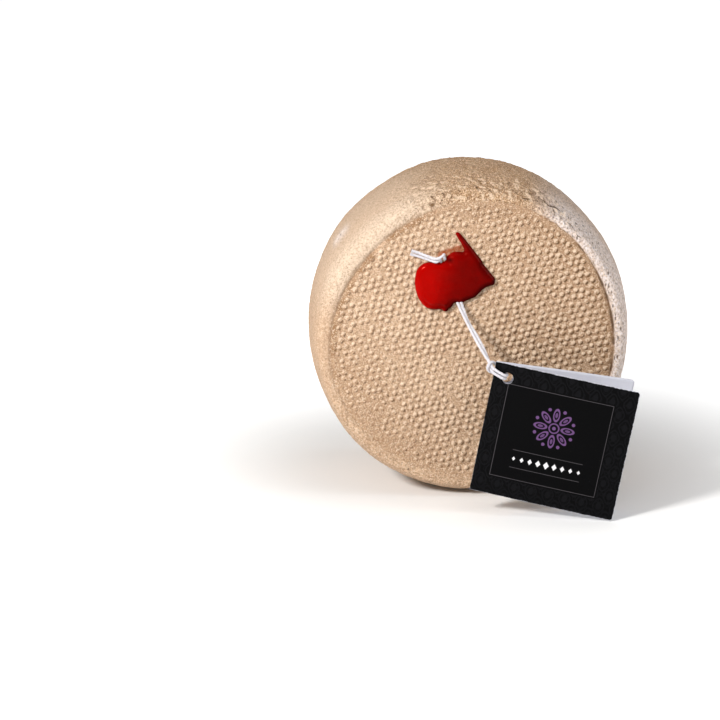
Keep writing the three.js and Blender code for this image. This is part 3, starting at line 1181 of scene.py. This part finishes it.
grain_group, given, result = new_group(
    "Grain", {"Size": 1.0, "Roughness": 0.55, "Shift": 0.0}, "Value"
)
shifted = vector_math(grain_group, "ADD", object_place(grain_group), given["Shift"])
scale = (given["Size"] / METRE).math("POWER", -1)
clouds = grain_group.nodes.new("ShaderNodeTexNoise")
settings = {"Vector": shifted, "Scale": scale, "Detail": 3.0, "Roughness": given["Roughness"]}
feed(grain_group, clouds, settings)
put(grain_group, result, Wire(grain_group, clouds.outputs["Fac"]).eased(0.3, 0.7))

pinhole_group, given, result = new_group(
    "Pinholes", {"Spacing": 5.0, "Radius": 0.3, "Share": 0.5, "Stretch": (1, 1, 1)}, "Mask"
)
stretched = vector_math(pinhole_group, "MULTIPLY", object_place(pinhole_group), given["Stretch"])
scale = (given["Spacing"] / METRE).math("POWER", -1)
cells = pinhole_group.nodes.new("ShaderNodeTexVoronoi")
feed(pinhole_group, cells, {"Vector": stretched, "Scale": scale})
away = Wire(pinhole_group, cells.outputs["Distance"]) * given["Spacing"]
chance = parts_of(pinhole_group, Wire(pinhole_group, cells.outputs["Color"]))
reach = given["Radius"] * (chance[1] * 0.8 + 0.5)
hole = away.eased(reach * 0.45, reach).flipped()
put(pinhole_group, result, hole * chance[0].math("LESS_THAN", given["Share"]))

mottle_group, given, result = new_group(
    "Mottle",
    {"Light": (1, 1, 1, 1), "Dark": (0, 0, 0, 1), "Size": 8.0, "Strength": 1.0},
    "Color",
    "NodeSocketColor",
)
patches = grain(mottle_group, given["Size"], 0.65) * given["Strength"]
put(mottle_group, result, mixed(patches, given["Light"], given["Dark"]))
print("groups:", [group.name for group in bpy.data.node_groups])

# %% [markdown]
# ## A material's frame
#
# Every material here is one Principled shader. What is the same all over is set on its sockets,
# and what changes from place to place is joined to them: a colour, a height in millimetres that
# becomes a bump in the normal, and often a roughness.


# %% Helpers for materials
def new_material(name, **settings):
    """A material with a Principled shader. The constant settings go straight on its sockets."""
    material = bpy.data.materials.new(name)
    material.use_nodes = True
    shader = material.node_tree.nodes["Principled BSDF"]
    for title, value in settings.items():
        shader.inputs[title.replace("_", " ")].default_value = value
    return material, material.node_tree, shader


def join(tree, shader, colour, height, roughness=None):
    """Joins what changes from place to place to the shader. The height is in millimetres."""
    bump = tree.nodes.new("ShaderNodeBump")
    feed(tree, bump, {"Distance": MM, "Height": height})
    normal = Wire(tree, bump.outputs["Normal"])
    feed(tree, shader, {"Base Color": colour, "Normal": normal})
    if roughness is not None:
        put(tree, shader.inputs["Roughness"], roughness)


print("helpers for materials are ready")

# %% [markdown]
# ## The rind
#
# A dry rind is many tans at once, with soft patches over them. The hollows between the bumps are
# painted darker brown as painted shade, and each bump and crumb gets a painted highlight on its
# upper left and painted shade on its lower right. The face is painted darker and browner towards
# its right and lower left, and the crease gets painted shade. The coarse top is browner and
# crumbly, with a few hair cracks. The smooth left is peach, and the bloom on the right is a chalky
# pink white, with brown flakes along its edge and dark pores all over; a short streak of the same
# white on the upper left rim is a painted highlight. The zones come from the mesh, so the colour
# always fits the relief. Grain too fine for the mesh is bump, and so are the bumps of the back
# face, which are drawn with painted light and shade of their own.

# %% Rind material
TAN_LIGHT = (0.69, 0.475, 0.315)
TAN_DARK = (0.59, 0.385, 0.245)
# Painted shade in the hollows between bumps, and the darker flecks of the grain
HOLLOW_SHADE_AND_GRAIN_BROWN = (0.30, 0.165, 0.085)
# Painted shade of the face's right and lower left
TAN_SHADED = (0.49, 0.30, 0.175)
COARSE_BROWN = (0.60, 0.35, 0.165)
PEACH = (0.57, 0.385, 0.255)
# The bloom's chalky white, also used for a painted highlight on the upper left rim
BLOOM_AND_HIGHLIGHT_WHITE = (0.94, 0.85, 0.83)
PALE_CREAM = (0.74, 0.60, 0.47)
FLAKE_BROWN = (0.36, 0.26, 0.19)
# Painted shade in the crease, and the dark of pores, slits, mould and cracks
CREASE_SHADE_AND_HOLE_DARK = (0.10, 0.05, 0.022)
# Painted shade on the lower right of bumps and crumbs, and the colour of dark specks
SHADE_AND_SPECK_BROWN = (0.19, 0.10, 0.048)
# Pale specks, and the painted highlight on the upper left of bumps and crumbs
PALE_SPECK_AND_HIGHLIGHT = (0.88, 0.70, 0.53)
GROOVE_BROWN = (0.33, 0.18, 0.085)
SOAKED_RED = (0.38, 0.085, 0.02)
# Each crack's angle, half its reach in degrees, and its distance from the wheel's axis
CRACKS = [(60, 5.0, 69.2), (50.5, 1.8, 67.6), (46, 1.2, 66.6), (70, 1.8, 68.0)]
CRACK_WIDTH = 0.26
CRACK_WANDER = 0.6


def on_the_wheel(tree):
    """Right of, above and away from the wheel's axis, and back from its middle, in millimetres."""
    x, y, z = parts_of(tree, object_place(tree))
    right, up = x * METRE, z * METRE - CENTRE_HEIGHT
    return right, up, distance(right, up), y * METRE


def cracks(tree):
    """1 in a few hair cracks, which run along the rim a little unevenly."""
    right, up, from_axis, back = on_the_wheel(tree)
    turn = up.math("ARCTAN2", right)
    from_axis = from_axis - grain(tree, 4.0, 0.4) * CRACK_WANDER
    lines = []
    for degrees, reach, radius in CRACKS:
        beyond = abs(turn - math.radians(degrees)) / math.radians(reach)
        width = beyond.eased(0.3, 1.2).flipped() * CRACK_WIDTH
        lines.append(abs(from_axis - radius).eased(width * 0.4, width + 0.01).flipped())
    return strongest(*lines) * back.math("LESS_THAN", 0)


def drawn_bumps(right, up, sway):
    """Height from 0 to 1 of bumps on a triangle lattice, which is two oblong ones."""
    turned_right = right * math.cos(LATTICE_TURN) + up * math.sin(LATTICE_TURN) + sway[0]
    turned_up = up * math.cos(LATTICE_TURN) - right * math.sin(LATTICE_TURN) + sway[1]
    away = []
    for shift in (0, 1):
        beside = (turned_right + shift * BUMP_PITCH / 2).math("PINGPONG", BUMP_PITCH / 2)
        above = (turned_up + shift * BUMP_ROW).math("PINGPONG", BUMP_ROW)
        away.append(distance(beside, above) / 1.25)
    dome = away[0].math("MINIMUM", away[1]).math("POWER", 2).flipped()
    return strongest(dome, 0).math("POWER", BUMP_ROUNDNESS)


def back_bumps(tree):
    """The back face's drawn bumps, their painted light and shade, and the share of skin they lie
    on.
    """
    right, up, from_axis, back = on_the_wheel(tree)
    face = back.math("GREATER_THAN", LIP_PLANE - 3) * from_axis.eased(57, 60).flipped()
    sway = [grain(tree, 6.0, shift=shift) for shift in (0.5, 0.8)]
    here, above_left, below_right = [
        drawn_bumps(right - step, up + step, sway) * face for step in (0, 0.35, -0.1)
    ]
    # The difference gives painted shade below and right of each drawn bump, and a painted
    # highlight above and left
    return here, (above_left - below_right) * 1.8, face


def rind_holes(tree, zone, finest):
    """Pores of the coarse top, slits in the bloom, spots of mould and the cracks, as one mask."""
    pores = pinholes(tree, 1.9, 0.45, 0.4) * (zone["coarse"] * 0.8 + 0.15)
    slits = pinholes(tree, 2.0, 0.8, 0.42, (1.7, 1.0, 0.7)) * finest.eased(0.05, 0.3)
    mould = pinholes(tree, 5.5, 0.55, 0.35) * 0.7
    return strongest(pores, slits * zone["bloom"], mould, cracks(tree))


def rind_material():
    material, tree, shader = new_material("rind", Specular_IOR_Level=0.25)
    zone = {name: attribute(tree, name) for name in zones}
    fine = grain(tree, 1.0, 0.75)
    finest = grain(tree, 0.6, 0.6, 0.2)
    patch = grain(tree, 3.2, 0.6, 0.4)
    flakes = grain(tree, 1.5, 0.8, 0.9)
    dots = pinholes(tree, 1.6, 0.34, 0.35)
    holes = rind_holes(tree, zone, finest)
    bumps, drawn_lit_and_shaded, bumpy = back_bumps(tree)
    # Painted light and shade of the bumps and crumbs, front and back
    lee = zone["lee"] + drawn_lit_and_shaded
    calm = zone["peach"] * -0.3 + 1
    crumbly = zone["coarse"] * finest.eased(0.2, 0.5).flipped()
    flaked = zone["bloom"].eased(0.05, 0.35) * (zone["bloom"] * -0.75 + 0.85)
    # Painted shade: darker where the relief is low, in the hollows between bumps
    hollow_shade = zone["height"].eased(-0.45, 0.0).flipped() * 0.2
    # How strong the painted shade is on the darker and coarse parts
    shade_depth = (zone["aged"] + zone["coarse"]) * 0.4 + 0.7
    colour = layered(
        mottle(tree, TAN_LIGHT, TAN_DARK, 9.0, 0.9),
        # Painted shade over the face's right and lower left
        (zone["aged"] * (patch * 0.3 + 0.6), TAN_SHADED),
        (zone["coarse"] * (patch * 0.5 + 0.4), COARSE_BROWN),
        (crumbly * 0.8, SHADE_AND_SPECK_BROWN),
        (zone["peach"] * 0.9, PEACH),
        # The bloom, with a painted highlight streak on the upper left rim
        (zone["bloom"] * (patch * 0.2 + 0.8), BLOOM_AND_HIGHLIGHT_WHITE),
        (flakes.eased(0.6, 0.9) * flaked, FLAKE_BROWN),
        (zone["pale"] * 0.7, PALE_CREAM),
        # Painted shade between the back face's drawn bumps and in the front's hollows
        (hollow_shade + bumpy * 0.35 - bumps * 0.35, HOLLOW_SHADE_AND_GRAIN_BROWN),
        (zone["groove"] * (patch * 0.4 + 0.6), GROOVE_BROWN),
        (fine.eased(0.15, 0.65).flipped() * calm * 0.65, HOLLOW_SHADE_AND_GRAIN_BROWN),
        (finest.eased(0.55, 0.9) * calm * 0.7, PALE_SPECK_AND_HIGHLIGHT),
        # Painted highlight on the lit sides of bumps and crumbs, and painted shade on their far
        # sides
        ((-lee).eased(0.1, 0.6) * (zone["coarse"] * -0.1 + 0.6), PALE_SPECK_AND_HIGHLIGHT),
        (lee.eased(0.2, 0.65) * (fine * 0.3 + 0.7) * shade_depth, SHADE_AND_SPECK_BROWN),
        (dots * (calm * 0.7), SHADE_AND_SPECK_BROWN),
        (zone["soaked"].eased(0.15, 0.75) * (fine * 0.4 + 0.6), SOAKED_RED),
        # Painted shade in the crease, and dark holes
        (strongest(zone["dirt"].eased(0.1, 0.85) * 0.8, holes * 0.85), CREASE_SHADE_AND_HOLE_DARK),
    )
    height = (fine * 0.3 + finest * 0.17) * calm - holes * 0.35 + bumps * 0.7
    join(tree, shader, colour, height, fine * 0.15 + 0.68)
    return material


rind.data.materials.append(rind_material())
print("rind material has", len(rind.data.materials[0].node_tree.nodes), "nodes")

# %% [markdown]
# ## The wax
#
# Sealing wax is a deep red that lets a little light in, so its thin edges glow brighter than its
# middle. Subsurface scattering does that. Its skin is glossy, with the faintest ripple, and only
# a few dust specks and tiny bubbles break it. Its red is painted darker towards the right, as
# painted shade. The edge at the lower right and the hollow by the string's ends lose their shine
# and are painted almost black, as painted shade.

# %% Wax material
WAX_RED = (0.34, 0.0012, 0.0005)
# Darker reds of the painted shade towards the wax's right, and the black of its shaded edge
WAX_SHADE_RED = (0.13, 0.0006, 0.0003)
WAX_SHADE_DARK = (0.05, 0.001, 0.0008)
WAX_SHADE_BLACK = (0.02, 0.0012, 0.001)
WAX_SHINE = 0.13


def wax_material():
    material, tree, shader = new_material(
        "wax",
        Specular_Tint=(1.0, 0.15, 0.12, 1.0),
        Subsurface_Weight=0.15,
        Subsurface_Radius=(1.0, 0.03, 0.02),
        Subsurface_Scale=0.8 * MM,
    )
    right_shade, dull_and_shaded = attribute(tree, "right_shade"), attribute(tree, "dull_and_shaded")
    patch, ripple = grain(tree, 6.0, 0.5), grain(tree, 2.4, 0.4)
    specks = pinholes(tree, 3.0, 0.16, 0.3)
    # Painted shade: darker towards the right, and almost black along the lower right edge and in
    # the pit
    colour = layered(
        WAX_RED,
        (right_shade.eased(0.0, 0.65) + patch * 0.2 - 0.1, WAX_SHADE_RED),
        ((right_shade + patch * 0.1).eased(0.8, 1.2) * 0.5, WAX_SHADE_DARK),
        (dull_and_shaded * 0.85, WAX_SHADE_BLACK),
    )
    put(tree, shader.inputs["Specular IOR Level"], dull_and_shaded.flipped() * WAX_SHINE)
    join(tree, shader, colour, ripple * 0.05 - specks * 0.06, ripple * 0.05 + 0.05)
    return material


wax.data.materials.append(wax_material())
print("wax material is on", wax.name)

# %% [markdown]
# ## The cotton
#
# Cotton is white and matt with a soft sheen at grazing light, from the loose fibres on its skin.
# The plies are in the mesh already, so the material adds only the fibres.

# %% Cotton material
COTTON_LIGHT = (0.74, 0.715, 0.76)
COTTON_DARK = (0.52, 0.50, 0.54)


def cotton_material():
    finish = {"Roughness": 0.85, "Specular_IOR_Level": 0.2, "Sheen_Weight": 0.1}
    material, tree, shader = new_material("cotton", **finish)
    fibres = grain(tree, 0.16, 0.6)
    join(tree, shader, mottle(tree, COTTON_LIGHT, COTTON_DARK, 0.8, 0.7), fibres * 0.05)
    return material


cotton = cotton_material()
for piece in (string, *tails):
    piece.data.materials.append(cotton)
print("cotton is on", [piece.name for piece in (string, *tails)])

# %% [markdown]
# ## The card's print
#
# The outside is printed black, with a fine line round a plain panel, a rosette in dull purple, a
# row of white lozenges between two thin rules, and a damask in a slightly lighter black round
# the panel. Every mark is a formula of the flat sheet, so it stays sharp at any distance. The
# inside and the cut edges are bare white card, painted greyer and bluer as painted shade, and
# the print is worn through along the edges to the same shaded card.

# %% Print on the card
PANEL_MIDDLE = (30.0, 29.6)
PANEL_HALF = (23.2, 20.9)
ROSETTE = (30.0, 35.2)
BLACK = (0.002, 0.002, 0.0023)
DAMASK = (0.0055, 0.0055, 0.0065)
LINE_GREY = (0.06, 0.055, 0.06)
PURPLE = (0.13, 0.065, 0.17)
PRINT_WHITE = (0.75, 0.74, 0.76)
# Greyer and bluer than white card: the card with painted shade
SHADED_PAPER = (0.58, 0.585, 0.65)
SHADED_PAPER_DARK = (0.50, 0.50, 0.57)
ROW_LEVEL = 18.0  # of the row of lozenges
LOZENGE_STEP = 3.6
RULES_APART = 4.0  # each from the row
DAMASK_REPEAT = (7.5, 10.5)
FULL_TURN = 2 * math.pi


def below(value, limit, soft=0.12):
    """1 where the value is under the limit, with an edge as soft as ink on card."""
    return value.eased(limit - soft, limit + soft).flipped()


def rosette(right, up):
    """Eight petals with a bright rim, dots between their tips, and a ring round a dot."""
    across, above = right - ROSETTE[0], up - ROSETTE[1]
    away = distance(across, above)
    turn = above.math("ARCTAN2", across)
    half_petal = FULL_TURN / 16
    nearest = turn.math("PINGPONG", half_petal)
    petal_along = (away * nearest.math("COSINE") - 6.0) / 3.1
    petal_beside = away * nearest.math("SINE") / 1.5
    petal = distance(petal_along, petal_beside)
    rim = below(abs(petal - 0.82), 0.17, 0.06)
    heart = below(petal, 0.38, 0.06)
    other = (turn + half_petal).math("PINGPONG", half_petal)
    dot = below(distance(away * other.math("COSINE") - 8.6, away * other.math("SINE")), 0.75)
    ring = strongest(below(abs(away - 2.1), 0.3), below(away, 0.8))
    return strongest(rim, heart * 0.8, dot, ring)


def lozenge_row(right, up):
    across = right - PANEL_MIDDLE[0]
    number = (across / LOZENGE_STEP).math("ROUND")
    within = abs(across - number * LOZENGE_STEP) + abs(up - ROW_LEVEL) * 0.75
    size = abs(number) * -0.14 + 1.25
    return (within - size).eased(-0.15, 0.15).flipped() * below(abs(number), 4.5)


def damask(right, up):
    """Ogee bands and a small flower in each, in the way of woven damask."""
    turns = [way * (FULL_TURN / step) for way, step in zip((right, up), DAMASK_REPEAT)]
    wave = turns[0].math("COSINE") + turns[1].math("COSINE")
    bands = below(abs(abs(wave) - 0.55), 0.2, 0.1)
    flower = (abs(wave) - 1.45).eased(0, 0.15)
    curl = ((right * 1.7).math("SINE") * (up * 1.3).math("SINE") * 3 + wave * 4).math("SINE")
    return strongest(bands, flower, curl.eased(0.55, 0.8) * 0.7)


def print_material():
    material, tree, shader = new_material("card_print", Specular_IOR_Level=0.04)
    along, up, _ = parts_of(tree, attribute(tree, "sheet", "Vector"))
    right = along - SPINE_ARC / 2
    front_leaf = along.math("GREATER_THAN", 0)
    from_middle = abs(right - PANEL_MIDDLE[0])
    box = strongest(from_middle - PANEL_HALF[0], abs(up - PANEL_MIDDLE[1]) - PANEL_HALF[1])
    pattern = damask(along, up) * strongest(box.eased(0.6, 0.9), front_leaf.flipped())
    rules = below(abs(abs(up - ROW_LEVEL) - RULES_APART), 0.12, 0.07) * below(from_middle, 15.5)
    edge = strongest(abs(along) - HALF_SHEET, abs(up - TAG_HEIGHT / 2) - TAG_HEIGHT / 2)
    rub = grain(tree, 1.1, 0.7)
    worn_edge = (edge + rub * 0.3).eased(-0.06, 0.14)
    worn_fold = (rub * 0.35 - abs(along)).eased(0.02, 0.3) * 0.5
    colour = layered(
        BLACK,
        (pattern, DAMASK),
        (below(abs(box), 0.13, 0.07) * front_leaf, LINE_GREY),
        (rosette(right, up) * front_leaf, PURPLE),
        (lozenge_row(right, up) * front_leaf, PRINT_WHITE),
        (rules * front_leaf, LINE_GREY),
        (strongest(worn_edge, worn_fold), SHADED_PAPER),
    )
    tooth = grain(tree, 0.3, 0.6)
    join(tree, shader, colour, tooth * 0.012, tooth * 0.12 - pattern * 0.1 + 0.38)
    return material


def paper_material():
    material, tree, shader = new_material("card_paper", Roughness=0.8, Specular_IOR_Level=0.25)
    tooth = grain(tree, 0.35, 0.6)
    # The card's inside is painted greyer and bluer, as painted shade
    join(tree, shader, mottle(tree, SHADED_PAPER, SHADED_PAPER_DARK, 5.0, 0.5), tooth * 0.02)
    return material


for material in (print_material(), paper_material()):
    card.data.materials.append(material)
print("card materials:", [m.name for m in card.data.materials])

# %% [markdown]
# ## The floor
#
# The floor is a wide pale sheet that is lit from behind away from the cheese, as a white sweep in
# a studio is, so it fades to pure white and still takes the shadows close by. Only the camera
# sees most of that light, so that it hardly lights the cheese.

# %% Floor
FLOOR_REACH = 6000
GLOW_FROM, GLOW_FULL = 0.07, 0.24  # metres from the cheese's foot


def make_floor():
    corners = [(-1, -1), (1, -1), (1, 1), (-1, 1)]
    points = [(x * FLOOR_REACH, y * FLOOR_REACH, 0) for x, y in corners]
    floor = mesh_piece("floor", points, [[0, 1, 2, 3]])
    material, tree, shader = new_material(
        "floor",
        Base_Color=(0.9, 0.9, 0.9, 1),
        Roughness=0.6,
        Specular_IOR_Level=0.1,
        Emission_Strength=0.75,
    )
    x, y, _ = parts_of(tree, object_place(tree))
    glow = distance(x, y).eased(GLOW_FROM, GLOW_FULL)
    seen = Wire(tree, tree.nodes.new("ShaderNodeLightPath").outputs["Is Camera Ray"])
    put(tree, shader.inputs["Emission Color"], glow * (seen * 0.8 + 0.2))
    floor.data.materials.append(material)
    floor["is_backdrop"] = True
    print("floor", 2 * FLOOR_REACH / METRE, "m across")


make_floor()

# %% [markdown]
# ## Lamps and sky
#
# One small lamp rakes over the face from the upper left and gives each bump its shadow. A wide one
# from above keeps the floor white, a third lifts the right side, and an even sky fills the rest.

# %% Lamps
# Place in metres, size, power and colour
LAMPS = {
    "key": ((-0.45, -0.52, 0.46), 0.15, 6.4, (1.0, 0.985, 0.96)),
    "side": ((1.1, -0.35, 0.45), 0.6, 4.5, (1, 1, 1)),
    "above": ((0.35, -0.2, 1.55), 1.4, 6, (1, 1, 1)),
}
SKY_STRENGTH = 0.26

wheel_middle = Vector((0, 0, CENTRE_HEIGHT * MM))
for name, (place, size, power, colour) in LAMPS.items():
    lamp_data = bpy.data.lights.new(name, "AREA")
    lamp_data.shape = "DISK"
    lamp_data.size = size
    lamp_data.energy = power
    lamp_data.color = colour
    lamp = bpy.data.objects.new(name, lamp_data)
    lamp.location = place
    lamp.rotation_euler = (wheel_middle - Vector(place)).to_track_quat("-Z", "Y").to_euler()
    scene.collection.objects.link(lamp)
world = bpy.data.worlds.new("sky")
world.use_nodes = True
sky = world.node_tree.nodes["Background"].inputs
sky["Color"].default_value = (1, 1, 1, 1)
sky["Strength"].default_value = SKY_STRENGTH
scene.world = world
scene.view_settings.view_transform = "Standard"

# %% [markdown]
# ## Sizes and the end
#
# How far the dressed model reaches past the solids' box at the high corner is printed. The
# dressed model has to stay within the solids' box, give or take what cotton may stand proud.
# Both boxes are written down, so that they can be compared after each render.

# %% Sizes
low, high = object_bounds()
grown = [round(float(b - a) * METRE, 2) for a, b in zip(cad_high, high)]
print("grown by", grown, "mm at the high corner")
